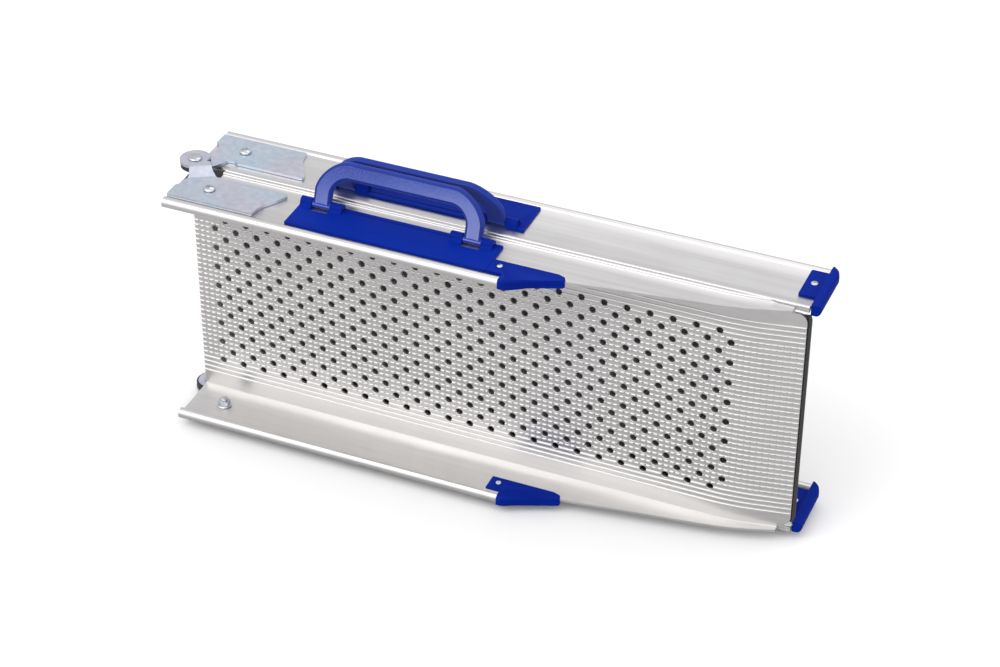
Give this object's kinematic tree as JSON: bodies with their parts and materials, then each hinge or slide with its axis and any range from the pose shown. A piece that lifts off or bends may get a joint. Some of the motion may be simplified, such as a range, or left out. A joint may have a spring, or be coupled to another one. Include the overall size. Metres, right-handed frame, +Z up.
{
  "type": "folding wheelchair ramp",
  "caption": "Portable folding wheelchair ramp: two perforated aluminium channels with side kerbs, hinged end to end, with fold-down carrying handles and plastic end caps, shown folded.",
  "frame": {"origin": "under the middle of the folded ramp's bounding box, on its lowest level", "axes": "+X along the ramp from the fold axis to the lip, +Y from the upper (landing) half to the lower (ground) half, +Z up along the fold axis towards the long edge that carries the handles"},
  "size_m": [0.5724, 0.1272, 0.2803],
  "materials": {
    "aluminium": "satin extruded and perforated sheet, bright anodised beads",
    "zinc_steel": "bluish zinc-plated steel plate",
    "bright_steel": "bright plated fasteners",
    "blue_plastic": "moulded royal blue, semi-gloss",
    "handle_plastic": "moulded royal blue, fine matte texture",
    "black_plastic": "moulded black",
    "rubber": "matte black rubber"
  },
  "bodies": {
    "upper_half": {"handle_base_upper": "blue_plastic", "handle_pin_upper_1": "bright_steel", "handle_pin_upper_2": "bright_steel", "hinge_plate_upper_a": "zinc_steel", "hinge_plate_upper_b": "zinc_steel", "kerb_cap_a": "blue_plastic", "kerb_cap_b": "blue_plastic", "kerb_cap_rivet_a": "bright_steel", "kerb_cap_rivet_b": "bright_steel", "lip_rubber_strip": "rubber", "pivot_rivet_a": "bright_steel", "pivot_rivet_b": "bright_steel", "plate_bolt_upper_a": "bright_steel", "plate_bolt_upper_b": "bright_steel", "plate_nut_upper_a": "bright_steel", "plate_nut_upper_b": "bright_steel", "upper_channel": "aluminium"},
    "lower_half": {"end_cap_a": "blue_plastic", "end_cap_b": "blue_plastic", "end_cap_rivet_a": "bright_steel", "end_cap_rivet_b": "bright_steel", "handle_base_lower": "blue_plastic", "handle_pin_lower_1": "bright_steel", "handle_pin_lower_2": "bright_steel", "hinge_plate_lower_a": "zinc_steel", "hinge_plate_lower_b": "zinc_steel", "lower_channel": "aluminium", "pivot_washer_a": "black_plastic", "pivot_washer_b": "black_plastic", "plate_bolt_lower_a": "bright_steel", "plate_bolt_lower_b": "bright_steel", "plate_nut_lower_a": "bright_steel", "plate_nut_lower_b": "bright_steel"},
    "upper_handle": {"handle_upper": "handle_plastic"},
    "lower_handle": {"handle_lower": "handle_plastic"}
  },
  "joints": [
    {"name": "fold", "type": "hinge", "parent": "upper_half", "child": "lower_half", "pos_m": [-0.27265, 0, 0.1235], "axis": [0, 0, 1], "range_deg": [0, 180]},
    {"name": "upper_handle_hinge", "type": "hinge", "parent": "upper_half", "child": "upper_handle", "pos_m": [-0.07415, -0.0185, 0.2407], "axis": [1, 0, 0], "range_deg": [0, 96]},
    {"name": "lower_handle_hinge", "type": "hinge", "parent": "lower_half", "child": "lower_handle", "pos_m": [-0.06815, 0.0185, 0.2407], "axis": [-1, 0, 0], "range_deg": [0, 96]}
  ]
}
